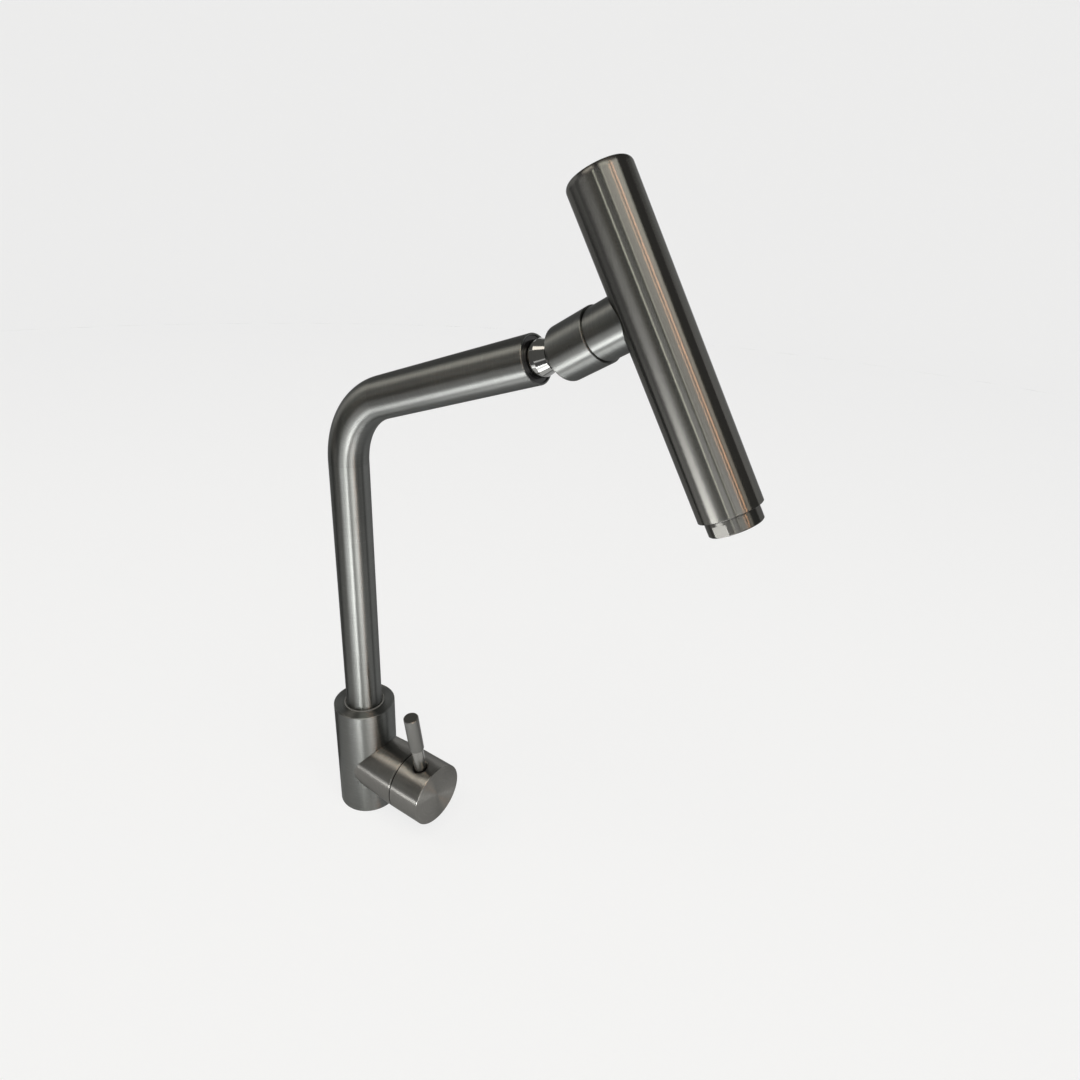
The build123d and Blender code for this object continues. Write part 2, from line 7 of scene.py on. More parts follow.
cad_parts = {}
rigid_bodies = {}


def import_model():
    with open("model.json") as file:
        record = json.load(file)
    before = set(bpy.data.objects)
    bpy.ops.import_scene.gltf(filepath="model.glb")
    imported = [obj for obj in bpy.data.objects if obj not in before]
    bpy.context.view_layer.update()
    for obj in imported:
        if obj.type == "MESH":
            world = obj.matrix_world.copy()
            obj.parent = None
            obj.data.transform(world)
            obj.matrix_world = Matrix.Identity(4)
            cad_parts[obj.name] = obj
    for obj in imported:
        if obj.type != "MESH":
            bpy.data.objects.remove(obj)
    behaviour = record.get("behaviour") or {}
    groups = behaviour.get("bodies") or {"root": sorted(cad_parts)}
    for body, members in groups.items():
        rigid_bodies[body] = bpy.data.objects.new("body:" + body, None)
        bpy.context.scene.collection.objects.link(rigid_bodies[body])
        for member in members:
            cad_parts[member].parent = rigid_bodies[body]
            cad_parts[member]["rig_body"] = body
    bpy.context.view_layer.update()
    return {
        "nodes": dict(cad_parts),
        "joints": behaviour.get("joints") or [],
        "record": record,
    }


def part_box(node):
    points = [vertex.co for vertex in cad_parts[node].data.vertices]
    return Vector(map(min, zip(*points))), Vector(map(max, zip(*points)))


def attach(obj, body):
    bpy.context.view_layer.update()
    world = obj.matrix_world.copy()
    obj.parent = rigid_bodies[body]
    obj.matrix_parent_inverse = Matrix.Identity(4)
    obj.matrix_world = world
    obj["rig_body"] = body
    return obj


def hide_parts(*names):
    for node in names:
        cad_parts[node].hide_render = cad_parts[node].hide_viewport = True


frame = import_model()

bl_info = {
    "name": "Mixer tap dresser",
    "version": (1, 0, 0),
    "blender": (4, 5, 0),
    "location": "View3D > Sidebar > Tap",
    "description": "Dresses a single lever mixer tap in brushed steel and sets it in a plain studio",
    "category": "Add Mesh",
}

NODES = frame["nodes"]
JOINTS = {joint["name"]: joint for joint in frame["joints"]}
MOUNTS = {mount["name"]: mount for mount in frame["record"]["mounts"]}
SLOTS = {row["node"]: row["material_slot"] for row in frame["record"]["subparts"]}
TUBE_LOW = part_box("spout_tube")[0]
UP = Vector((0, 0, 1))


# Frames of the tap's own axes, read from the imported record

def stand(point, axis):
    """A frame at the point whose z runs along the axis and whose x leans upward."""
    z = Vector(axis).normalized()
    up = Vector((1, 0, 0)) if abs(z.z) > 0.999 else UP
    x = (up - z * up.dot(z)).normalized()
    turn = Matrix((x, z.cross(x), z)).transposed()
    return Matrix.Translation(Vector(point)) @ turn.to_4x4()


def joint_frame(name):
    """A frame at a joint, with z along the joint's axis."""
    return stand(JOINTS[name]["pos_m"], JOINTS[name]["axis"])


def lever_frame():
    """The lever stands square to the handle's axis and to the hinge that lifts it."""
    low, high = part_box("lever_grip")
    along = Vector(JOINTS["flow"]["axis"]).cross(Vector(JOINTS["temperature"]["axis"]))
    middle = (low + high) / 2
    reach = middle - Vector(JOINTS["temperature"]["pos_m"])
    return stand(middle, along if along.dot(reach) > 0 else -along)


def valve_seam():
    """Height of the joint between the valve housing and the cap, along the handle's axis."""
    ends = [(VALVE.inverted() @ corner).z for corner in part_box("valve_housing")]
    caps = [(VALVE.inverted() @ corner).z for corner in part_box("handle_cap")]
    if max(ends) < max(caps):
        return (max(ends) + min(caps)) / 2
    return (min(ends) + max(caps)) / 2


UPRIGHT = Matrix.Identity(4)
VALVE = joint_frame("temperature")
LEVER = lever_frame()
ARM = joint_frame("stem_roll")
COLLAR = joint_frame("head_spin")
HEAD = stand(MOUNTS["outlet"]["pos_m"], MOUNTS["outlet"]["axis"])


# Settings that a user would change

class TapSizes(bpy.types.PropertyGroup):
    bend_radius: bpy.props.FloatProperty(
        name="Bend radius", description="Radius of the spout's bend, to the middle of the tube",
        default=0.052, min=0.03, max=0.1, unit="LENGTH")
    tube_wall: bpy.props.FloatProperty(
        name="Tube wall", description="Thickness of the spout tube's wall",
        default=0.001, min=0.0005, max=0.003, unit="LENGTH")
    tube_edge: bpy.props.FloatProperty(
        name="Tube edge", description="Width of the bevel on the spout tube's cut ends",
        default=0.00025, min=0.0, max=0.0005, unit="LENGTH")
    thread_pitch: bpy.props.FloatProperty(
        name="Thread pitch", description="Pitch of the thread on the shank",
        default=0.0015, min=0.0008, max=0.003, unit="LENGTH")
    thread_depth: bpy.props.FloatProperty(
        name="Thread depth", description="Depth of the thread on the shank",
        default=0.0008, min=0.0002, max=0.001, unit="LENGTH")
    thread_end: bpy.props.FloatProperty(
        name="Thread end", description="Length of the shank's free thread, up to the relief groove",
        default=0.012, min=0.005, max=0.03, unit="LENGTH")
    relief_width: bpy.props.FloatProperty(
        name="Relief groove", description="Width of the relief groove in the shank's thread",
        default=0.002, min=0.001, max=0.004, unit="LENGTH")
    shank_wall: bpy.props.FloatProperty(
        name="Shank wall", description="Thickness of the hollow shank's wall, with its thread",
        default=0.0025, min=0.0015, max=0.005, unit="LENGTH")


class TapFinish(bpy.types.PropertyGroup):
    body_colour: bpy.props.FloatVectorProperty(
        name="Body", description="Colour of the brushed body and spout",
        default=(0.176, 0.180, 0.173), size=3, subtype="COLOR", min=0, max=1)
    valve_colour: bpy.props.FloatVectorProperty(
        name="Valve and handle", description="Colour of the valve housing and the handle's cap",
        default=(0.190, 0.186, 0.174), size=3, subtype="COLOR", min=0, max=1)
    head_colour: bpy.props.FloatVectorProperty(
        name="Head", description="Colour of the darker, more polished head",
        default=(0.130, 0.128, 0.119), size=3, subtype="COLOR", min=0, max=1)
    grip_colour: bpy.props.FloatVectorProperty(
        name="Grip", description="Colour of the satin grip of the lever",
        default=(0.150, 0.149, 0.140), size=3, subtype="COLOR", min=0, max=1)
    polished_colour: bpy.props.FloatVectorProperty(
        name="Polished steel", description="Colour of the lever's stem and the nut under the cap",
        default=(0.28, 0.275, 0.26), size=3, subtype="COLOR", min=0, max=1)
    chrome_colour: bpy.props.FloatVectorProperty(
        name="Ball stem", description="Colour of the polished stem that carries the head",
        default=(0.32, 0.32, 0.31), size=3, subtype="COLOR", min=0, max=1)
    brush_spread: bpy.props.FloatProperty(
        name="Brush spread", description="How far brushed steel draws a highlight out across its scratches",
        default=1.0, min=0, max=1, subtype="FACTOR")


class TapStudio(bpy.types.PropertyGroup):
    floor_colour: bpy.props.FloatVectorProperty(
        name="Floor", description="Colour of the floor and the backdrop",
        default=(0.80, 0.80, 0.79), size=3, subtype="COLOR", min=0, max=1)
    room_colour: bpy.props.FloatVectorProperty(
        name="Room", description="Colour of the dim room round the studio",
        default=(0.17, 0.168, 0.160), size=3, subtype="COLOR", min=0, max=1)
    paper_colour: bpy.props.FloatVectorProperty(
        name="Paper", description="Pale colour of the floor and backdrop away from the lamps",
        default=(1.0, 1.0, 1.0), size=3, subtype="COLOR", min=0, max=1)
    paper_glow: bpy.props.FloatProperty(
        name="Paper evenness", description="Share of the paper's plain colour against its lit colour",
        default=0.80, min=0, max=1, subtype="FACTOR")
    table_level: bpy.props.FloatProperty(
        name="Light tables", description="Brightness of the light panels in front of the tap",
        default=1.45, min=0, max=5)
    light_level: bpy.props.FloatProperty(
        name="Light level", description="Brightness of all the lamps together",
        default=1.25, min=0.1, max=3)


# Node maths

class Value:
    """A number that varies over a surface, used in Python sums."""

    def __init__(self, finish, socket):
        self.finish = finish
        self.socket = socket

    def math(self, operation, *others):
        inputs = dict(enumerate((self,) + others))
        node = self.finish.node("ShaderNodeMath", {"operation": operation}, inputs)
        return Value(self.finish, node.outputs[0])

    def __add__(self, other):
        return self.math("ADD", other)

    __radd__ = __add__

    def __mul__(self, other):
        return self.math("MULTIPLY", other)

    __rmul__ = __mul__

    def __sub__(self, other):
        return self.math("SUBTRACT", other)

    def __rsub__(self, other):
        return (self * -1).math("ADD", other)

    def root(self):
        return self.math("SQRT")

    def angle_to(self, other):
        """The angle in radians of the point whose coordinates are other and this."""
        return self.math("ARCTAN2", other)

    def between(self, low, high):
        """0 at the low value, 1 at the high one, held outside them."""
        node = self.finish.node("ShaderNodeMapRange", {"clamp": True},
                                {"Value": self, "From Min": low, "From Max": high})
        return Value(self.finish, node.outputs["Result"])


class Finish:
    """A material whose nodes are made in one way."""

    def __init__(self, name):
        self.material = bpy.data.materials.new(name)
        self.material.use_nodes = True
        self.tree = self.material.node_tree
        self.tree.nodes.clear()

    def node(self, kind, settings=None, inputs=None):
        """A new node with its settings, and with the values or links of its sockets."""
        made = self.tree.nodes.new(kind)
        for name, value in (settings or {}).items():
            if name == "stops":
                self.set_stops(made.color_ramp, value)
            else:
                setattr(made, name, value)
        for name, value in (inputs or {}).items():
            socket = made.inputs[name]
            if isinstance(value, Value):
                value = value.socket
            if isinstance(value, bpy.types.NodeSocket):
                self.tree.links.new(value, socket)
            else:
                socket.default_value = value
        return made

    @staticmethod
    def set_stops(ramp, stops):
        """Gives a colour ramp its places and colours."""
        while len(ramp.elements) < len(stops):
            ramp.elements.new(1.0)
        for element, (place, colour) in zip(ramp.elements, stops):
            element.position = place
            element.color = colour

    def place(self):
        """The three coordinates of a point in the piece's own frame."""
        point = self.node("ShaderNodeTexCoord").outputs["Object"]
        split = self.node("ShaderNodeSeparateXYZ", None, {"Vector": point})
        return [Value(self, split.outputs[axis]) for axis in "XYZ"]

    def noise(self, x, y, z, detail=2.0, rough=0.5):
        """Cloudy noise about 0.5, with one cloud for each unit of the three coordinates."""
        point = self.node("ShaderNodeCombineXYZ", None, {"X": x, "Y": y, "Z": z})
        cloud = self.node("ShaderNodeTexNoise", None,
                          {"Vector": point.outputs[0], "Scale": 1.0, "Detail": detail, "Roughness": rough})
        return Value(self, cloud.outputs["Fac"])

    def blend(self, factor, first, second):
        """A colour between two others, each a colour or a socket."""
        mix = self.node("ShaderNodeMix", {"data_type": "RGBA"}, {"Factor": factor})
        for socket, value in ((mix.inputs[6], first), (mix.inputs[7], second)):
            if isinstance(value, bpy.types.NodeSocket):
                self.tree.links.new(value, socket)
            else:
                socket.default_value = (*value, 1.0)
        return mix.outputs[2]

    def bump(self, height, distance, strength=1.0, below=None):
        """A relief of this height, on top of the relief below it."""
        inputs = {"Height": height, "Distance": distance, "Strength": strength}
        if below is not None:
            inputs["Normal"] = below
        return self.node("ShaderNodeBump", None, inputs).outputs["Normal"]

    def skin(self, **inputs):
        """The surface itself. A name such as Base_Color stands for the socket Base Color."""
        named = {name.replace("_", " "): value for name, value in inputs.items()}
        shader = self.node("ShaderNodeBsdfPrincipled", None, named)
        self.node("ShaderNodeOutputMaterial", None, {"Surface": shader.outputs[0]})
        return self.material


def tint(colour, factor):
    """The colour made lighter or darker by a factor, no lighter than white."""
    return tuple(min(1.0, channel * factor) for channel in colour)


# Finishes

# Noise scales, in clouds per metre: lines lie close together along the axis and run long round it
BRUSH_LINES = 2600
BRUSH_WAVE = 60
SPECK_LINES = 1300
SPECK_WAVE = 220
SMUDGE_WAVE = 35
LATHE_LINES = 3000
LATHE_WAVE = 20
POLISH_WAVE = 90
MOULD_WAVE = 120
PORE_WAVE = 1500
FIBRE_WAVE = 900

# Heights of relief, distances from a seam at which its painted shade begins and ends, and distances from a
# dent at which its relief begins and ends, in metres
BRUSH_DEPTH = 0.000003
LATHE_DEPTH = 0.000004
SEAM_SHADE_EDGES = (0.00045, 0.00030)
DENT_EDGES = (0.0045, 0.0105)
DENT_DEPTH = 0.0004

# The grain at which brushing has its plain strength
PLAIN_GRAIN = 0.1

# The turn that lays the gloss along the axis, as a share of a circle
ALONG_AXIS = 0.25

# Near-black painted shade for the narrow gap at the seam between the valve housing and the cap
SEAM_SHADE_COLOUR = (0.004, 0.004, 0.004)
BRASS = (0.60, 0.46, 0.22)
BLACK = (0.012, 0.012, 0.013)
RING_GREY = (0.20, 0.20, 0.197)


def brushed_steel(name, colour, roughness, grain, smudge=0.06, round_bend=0.0, seam=None, dent=None):
    """Steel brushed round its axis: fine rings of scratches, faint smudges and a drawn-out gloss.

    A piece with a round_bend is brushed round its tube's own bend, whose radius that is. A seam is the height
    of a joint, round which the colour is painted near black as the shade in its narrow gap, and a dent the
    point and direction of a pressed-in hole."""
    finish = Finish(name)
    x, y, z = finish.place()
    around = (x * x + y * y).root()
    if round_bend:
        along = y.angle_to(x) * round_bend
        first, second, third, turn = around, z, along, 0.0
    else:
        along = z + around
        first, second, third, turn = x, y, z, ALONG_AXIS
    lines = finish.noise(first * BRUSH_WAVE, second * BRUSH_WAVE, along * BRUSH_LINES, 3.0, 0.6)
    specks = finish.noise(first * SPECK_WAVE, second * SPECK_WAVE, along * SPECK_LINES, 1.0)
    clouds = finish.noise(first * SMUDGE_WAVE, second * SMUDGE_WAVE, third * SMUDGE_WAVE, 3.0, 0.6)
    scratch = specks.between(0.60, 0.72) * lines.between(0.35, 0.65)
    shade = finish.blend(lines.between(0.25, 0.75), tint(colour, 1 - grain), tint(colour, 1 + grain))
    shade = finish.blend(scratch * grain * 3.5, shade, tint(colour, 1.6))
    gloss = (lines - 0.5) * grain + (clouds - 0.5) * smudge * 2 + roughness
    spread = bpy.context.scene.tap_finish.brush_spread
    if seam is not None:
        # Painted shade: near the seam's height the colour turns near black, standing in for the shade inside
        # the narrow gap
        depth = (z - seam).math("ABSOLUTE").between(*SEAM_SHADE_EDGES)
        shade = finish.blend(depth, shade, SEAM_SHADE_COLOUR)
    relief = finish.bump(lines + scratch * 0.5, BRUSH_DEPTH, 0.4 * grain / PLAIN_GRAIN)
    if dent is not None:
        point, way = dent
        parts = [part - start for part, start in zip((x, y, z), point)]
        along = parts[0] * way.x + parts[1] * way.y + parts[2] * way.z
        sides = [part - along * step for part, step in zip(parts, way)]
        squares = [side * side for side in sides]
        away = (squares[0] + squares[1] + squares[2]).root()
        bowl = away.between(*DENT_EDGES)
        relief = finish.bump(bowl.math("SMOOTH_MIN", 1.0, 0.5), DENT_DEPTH, 1.0, relief)
    return finish.skin(
        Base_Color=shade, Metallic=1.0, Roughness=gloss, Anisotropic=spread, Anisotropic_Rotation=turn,
        Specular_Tint=(0.5, 0.5, 0.5, 1.0), Normal=relief)


def polished_metal(name, colour, roughness):
    """Turned and polished metal with faint lathe rings."""
    finish = Finish(name)
    x, y, z = finish.place()
    along = z + (x * x + y * y).root()
    rings = finish.noise(x * LATHE_WAVE, y * LATHE_WAVE, along * LATHE_LINES, 2.0)
    clouds = finish.noise(x * POLISH_WAVE, y * POLISH_WAVE, z * POLISH_WAVE, 2.0)
    shade = finish.blend(rings, tint(colour, 0.93), tint(colour, 1.06))
    gloss = (rings - 0.5) * 0.06 + (clouds - 0.5) * 0.05 + roughness
    relief = finish.bump(rings, LATHE_DEPTH, 0.4)
    return finish.skin(Base_Color=shade, Metallic=1.0, Roughness=gloss, Normal=relief)


def moulded(name, colour, roughness, grain=0.00001):
    """Moulded plastic or ceramic with a slight unevenness."""
    finish = Finish(name)
    x, y, z = finish.place()
    cloud = finish.noise(x * MOULD_WAVE, y * MOULD_WAVE, z * MOULD_WAVE, 3.0)
    pores = finish.noise(x * PORE_WAVE, y * PORE_WAVE, z * PORE_WAVE, 2.0)
    shade = finish.blend(cloud, tint(colour, 0.9), tint(colour, 1.08))
    gloss = (cloud - 0.5) * 0.12 + roughness
    return finish.skin(Base_Color=shade, Roughness=gloss, Normal=finish.bump(pores, grain, 0.5))


# Mesh code

# Edges that turn by more than this stay sharp
SHARP_ANGLE = radians(35)


def shown_as(piece, place, body, slot, material, *nodes):
    """Puts a finished piece in its frame, on its body, in place of its nodes."""
    piece.matrix_world = place
    piece.data.materials.clear()
    piece.data.materials.append(material)
    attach(piece, body)
    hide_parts(*nodes)


def centre_texture(mesh):
    """Lets the brushing run round the frame's own z axis."""
    reach = max(max(abs(part) for part in vertex.co) for vertex in mesh.vertices)
    mesh.use_auto_texspace = False
    mesh.texspace_location = (0, 0, 0)
    mesh.texspace_size = (reach, reach, reach)


def refinish(node, name, place, material):
    """Carries a node's form into the frame of its own axis, so that its brushing follows that axis."""
    mesh = NODES[node].data.copy()
    mesh.transform(place.inverted())
    centre_texture(mesh)
    piece = bpy.data.objects.new(name, mesh)
    bpy.context.scene.collection.objects.link(piece)
    shown_as(piece, place, NODES[node]["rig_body"], SLOTS[node], material, node)


def dress(node, material):
    """Gives a node that stays as it is its own finish."""
    data = NODES[node].data
    data.materials.clear()
    data.materials.append(material)


def rings_mesh(name, rings, closed=True):
    """A smooth skin over rings of points. A closed one joins its last ring to its first."""
    count = len(rings[0])
    points = [tuple(point) for ring in rings for point in ring]
    faces = []
    last = len(rings) if closed else len(rings) - 1
    for row in range(last):
        below = row * count
        above = (row + 1) % len(rings) * count
        for step in range(count):
            after = (step + 1) % count
            faces.append((below + step, below + after, above + after, above + step))
    mesh = bpy.data.meshes.new(name)
    mesh.from_pydata(points, [], faces)
    mesh.shade_smooth()
    mesh.set_sharp_from_angle(angle=SHARP_ANGLE)
    mesh.validate()
    piece = bpy.data.objects.new(name, mesh)
    bpy.context.scene.collection.objects.link(piece)
    return piece


def circle(radius, height, segments):
    """A level ring of points about the z axis."""
    turns = [2 * pi * step / segments for step in range(segments)]
    return [(radius * cos(turn), radius * sin(turn), height) for turn in turns]


def lathe(name, profile, segments=192):
    """A turned form from a closed profile of (radius, height) points."""
    piece = rings_mesh(name, [circle(radius, height, segments) for radius, height in profile])
    centre_texture(piece.data)
    return piece


# Pieces

class TAP_OT_body(bpy.types.Operator):
    """Brush the body, its valve housing and the slip ring at the spout's foot"""
    bl_idname = "tap.body"
    bl_label = "Body"

    def execute(self, context):
        colours = context.scene.tap_finish
        dress("body_shell", brushed_steel("brushed body", colours.body_colour, 0.37, 0.12))
        # The valve housing's colour gets painted shade in the gap at its seam with the cap
        valve = brushed_steel("brushed valve", colours.valve_colour, 0.33, 0.10, seam=valve_seam())
        refinish("valve_housing", "valve_barrel", VALVE, valve)
        dress("slip_ring", moulded("grey ring", RING_GREY, 0.30))
        return {"FINISHED"}


class TAP_OT_handle(bpy.types.Operator):
    """Brush the handle's cap, its lever and the spindle they turn"""
    bl_idname = "tap.handle"
    bl_label = "Handle"

    def execute(self, context):
        colours = context.scene.tap_finish
        hole = VALVE.inverted() @ LEVER.translation
        way = (VALVE.inverted().to_3x3() @ LEVER.to_3x3().col[2]).normalized()
        # The cap's colour gets painted shade in the gap at its seam with the housing
        seam = valve_seam()
        steel = brushed_steel("brushed cap", colours.valve_colour, 0.33, 0.10, seam=seam, dent=(hole, way))
        refinish("handle_cap", "handle_shell", VALVE, steel)
        satin = polished_metal("satin grip", colours.grip_colour, 0.40)
        refinish("lever_grip", "lever_handle", LEVER, satin)
        polished = polished_metal("polished lever", colours.polished_colour, 0.26)
        refinish("lever_stem", "lever_pin", LEVER, polished)
        dress("spindle", polished_metal("turned brass", BRASS, 0.28))
        dress("handle_grub_screw", polished_metal("screw steel", (0.42, 0.42, 0.43), 0.25))
        return {"FINISHED"}


class TAP_OT_spout(bpy.types.Operator):
    """Build the bent spout tube and finish the pieces in its two ends"""
    bl_idname = "tap.spout"
    bl_label = "Spout"

    def execute(self, context):
        sizes = context.scene.tap_sizes
        colours = context.scene.tap_finish
        outer = -TUBE_LOW.x
        inner = outer - sizes.tube_wall
        edge = sizes.tube_edge
        foot = TUBE_LOW.z
        tip = Vector(JOINTS["stem_roll"]["pos_m"])
        rise = Vector(JOINTS["stem_roll"]["axis"])
        run = Vector((rise.x, rise.y, 0)).length
        length = Vector((tip.x, tip.y, 0)).length / run
        corner = tip - rise * length
        turn = pi / 2 - Vector((run, rise.z)).angle_signed(Vector((1, 0)))
        cut = sizes.bend_radius * tan(turn / 2)
        material = brushed_steel("brushed spout", colours.body_colour, 0.35, 0.09)
        upright = [(inner, foot), (inner + edge, foot), (outer - edge, foot), (outer, foot + edge),
                   (outer, corner.z - cut), (inner, corner.z - cut)]
        piece = lathe("spout_upright", upright)
        shown_as(piece, UPRIGHT, "spout", SLOTS["spout_tube"], material, "spout_tube")
        arm = [(inner, cut - length), (outer, cut - length), (outer, -edge), (outer - edge, 0),
               (inner + edge, 0), (inner, -edge)]
        piece = lathe("spout_arm", arm)
        # Painted shade: the arm is the same tube as the upright, its colour darkened to 0.84 where it falls
        # darker under the light
        material = brushed_steel("brushed arm with painted shade", tint(colours.body_colour, 0.84), 0.35, 0.09)
        shown_as(piece, ARM, "spout", SLOTS["spout_tube"], material, "spout_tube")
        side = Vector((-rise.y, rise.x, 0)).normalized()
        out = Vector((side.y, -side.x, 0))
        centre = Vector((0, 0, corner.z - cut)) + out * sizes.bend_radius
        turned = Matrix((-out, UP, -out.cross(UP))).transposed()
        place = Matrix.Translation(centre) @ turned.to_4x4()
        piece = self.bend(sizes.bend_radius, outer, inner, turn)
        # Painted shade: the bend's colour is darkened to 0.92, grading from the upright to the darker arm
        colour = tint(colours.body_colour, 0.92)
        material = brushed_steel("brushed bend with painted shade", colour, 0.35, 0.09, round_bend=sizes.bend_radius)
        shown_as(piece, place, "spout", SLOTS["spout_tube"], material, "spout_tube")
        refinish("end_bushing", "spout_bushing", ARM, moulded("black bushing", BLACK, 0.35))
        dress("spout_ferrule", polished_metal("ferrule brass", BRASS, 0.3))
        return {"FINISHED"}

    @staticmethod
    def bend(radius, outer, inner, turn, steps=72, segments=192):
        """Part of a ring of tube, from the x axis towards y, outside first and then back inside."""
        angles = [2 * pi * part / segments for part in range(segments)]
        forward = [turn * step / steps for step in range(steps + 1)]
        rings = []
        for wall, ways in ((outer, forward), (inner, forward[::-1])):
            section = [(radius + wall * cos(angle), -wall * sin(angle)) for angle in angles]
            for way in ways:
                rings.append([(reach * cos(way), reach * sin(way), height) for reach, height in section])
        piece = rings_mesh("spout_bend", rings)
        centre_texture(piece.data)
        return piece


class TAP_OT_joint(bpy.types.Operator):
    """Polish the ball stem and finish the swivel collar that turns on it"""
    bl_idname = "tap.joint"
    bl_label = "Ball joint"

    def execute(self, context):
        colours = context.scene.tap_finish
        refinish("ball_stem", "ball_pin", ARM, polished_metal("polished stem", colours.chrome_colour, 0.09))
        colour = tint(colours.body_colour, 0.86)
        refinish("swivel_collar", "collar_shell", COLLAR, brushed_steel("brushed collar", colour, 0.34, 0.09))
        refinish("head_stub", "stub_shell", COLLAR, brushed_steel("brushed stub", colour, 0.34, 0.09))
        return {"FINISHED"}


class TAP_OT_head(bpy.types.Operator):
    """Finish the head tube and the outlet ring below it"""
    bl_idname = "tap.head"
    bl_label = "Head"

    def execute(self, context):
        colours = context.scene.tap_finish
        tube = brushed_steel("polished head", colours.head_colour, 0.25, 0.02, smudge=0.015)
        refinish("head_body", "head_shell", HEAD, tube)
        ring = brushed_steel("turned outlet ring", tint(colours.head_colour, 0.85), 0.30, 0.05)
        refinish("aerator_housing", "outlet_ring", HEAD, ring)
        dress("aerator_insert", moulded("grey insert", (0.10, 0.10, 0.10), 0.45))
        dress("outlet_plate", moulded("outlet plate acetal", (0.70, 0.70, 0.68), 0.4))
        return {"FINISHED"}


class TAP_OT_inside(bpy.types.Operator):
    """Finish the cartridge, seals and fixings that the tap hides"""
    bl_idname = "tap.inside"
    bl_label = "Cartridge and fixings"

    def execute(self, context):
        acetal = moulded("white acetal", (0.72, 0.72, 0.70), 0.42)
        rubber = moulded("black rubber", (0.015, 0.015, 0.015), 0.62, grain=0.00003)
        ceramic = moulded("lapped ceramic", (0.85, 0.84, 0.80), 0.12, grain=0.000002)
        black = moulded("black plastic", BLACK, 0.4)
        steel = polished_metal("plain steel", (0.45, 0.45, 0.46), 0.28)
        brass = polished_metal("fixing brass", (0.62, 0.48, 0.24), 0.30)
        nut = polished_metal("polished nut", context.scene.tap_finish.polished_colour, 0.14)
        kinds = {"white_plastic": acetal, "black_rubber": rubber, "ceramic": ceramic, "black_plastic": black,
                 "screw_steel": steel, "brass_fixing": brass, "polished_steel": nut}
        done = {"spindle", "handle_grub_screw", "spout_ferrule", "outlet_plate", "end_bushing", "lever_stem"}
        for node, slot in SLOTS.items():
            if slot in kinds and node not in done:
                dress(node, kinds[slot])
        self.thread(context.scene.tap_sizes, kinds[SLOTS["threaded_shank"]])
        return {"FINISHED"}

    @staticmethod
    def thread(sizes, material):
        """The hollow shank with a real thread, its chamfered end and its relief groove."""
        chamfer = 0.001
        rows_per_turn = 6
        segments = 96
        groove_share = 0.8
        steepness = 1.4
        flat_share = 0.2
        low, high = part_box("threaded_shank")
        outer = high.x
        bore = outer - sizes.shank_wall
        groove = low.z + sizes.thread_end
        count = int((high.z - low.z) / sizes.thread_pitch * rows_per_turn)
        turns = [step / segments for step in range(segments)]
        rings = [[(bore * cos(2 * pi * turn), bore * sin(2 * pi * turn), end) for turn in turns]
                 for end in (high.z, low.z)]
        for row in range(count + 1):
            height = low.z + (high.z - low.z) * row / count
            crest = min(outer, outer - chamfer + height - low.z)
            plain = groove < height < groove + sizes.relief_width
            ring = []
            for turn in turns:
                wave = abs(((height / sizes.thread_pitch - turn) % 1) * 2 - 1)
                flank = min(max(wave * steepness - flat_share, 0), 1)
                depth = sizes.thread_depth * (groove_share if plain else flank)
                radius = max(min(crest, outer - depth), outer - sizes.thread_depth)
                ring.append((radius * cos(2 * pi * turn), radius * sin(2 * pi * turn), height))
            rings.append(ring)
        piece = rings_mesh("shank_thread", rings)
        body = NODES["threaded_shank"]["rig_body"]
        shown_as(piece, UPRIGHT, body, SLOTS["threaded_shank"], material, "threaded_shank")


# Stage

# The point that the lamps face, and the photograph's eye as a fit to its outlines gives it
STUDIO_CENTRE = Vector((0.12, 0.0, 0.25))
EYE = Vector((0.34803, -0.30023, 0.43998))

# Distances and sizes in metres. HEAD_MIDDLE is measured up the head from its outlet
LAMP_DISTANCE = 1.7
STRIP_DISTANCE = 1.5
STRIP_LENGTH = 1.7
HEAD_MIDDLE = 0.09
FLOOR_HEIGHT = -0.0002
FLOOR_RADIUS = 2.4
BACKDROP_CURVE = 0.8
BACKDROP_HEIGHT = 4.6
TABLE_HEIGHT = 0.001

# Low cards that only gloss shows, so that the floor stays even: azimuths and elevations in degrees as seen
# from the tap, brightness and colour
CARDS = {
    "front low left": ((-70, -52), (1, 11), 2.9, (1.0, 1.0, 1.0)),
    "front low": ((-40, -18), (1, 11), 3.7, (1.0, 1.0, 1.0)),
}

# Each soft lamp, in the same way
LAMPS = {
    "front high": ((-60, -12), (27, 52), 1.45, (1.0, 0.97, 0.90)),
    "right high": ((-10, 2), (22, 46), 1.7, (1.0, 0.90, 0.78)),
    "window": ((-22, 12), (48, 64), 3.0, (1.0, 1.0, 0.94)),
    "left high": ((-158, -116), (38, 62), 2.2, (1.0, 0.93, 0.84)),
    "overhead": ((-90, -30), (52, 75), 2.7, (1.0, 0.99, 0.87)),
}

# Each strip lamp: where across the head its reflection runs, its width in metres, its brightness and colour
STRIPS = {
    "copper strip": (0.42, 0.035, 13.0, (1.0, 0.52, 0.28)),
    "copper line": (0.34, 0.020, 13.0, (1.0, 0.55, 0.32)),
    "pale line": (-0.10, 0.05, 6.0, (1.0, 1.0, 0.88)),
    "pale edge": (0.12, 0.05, 3.0, (1.0, 0.98, 0.88)),
}

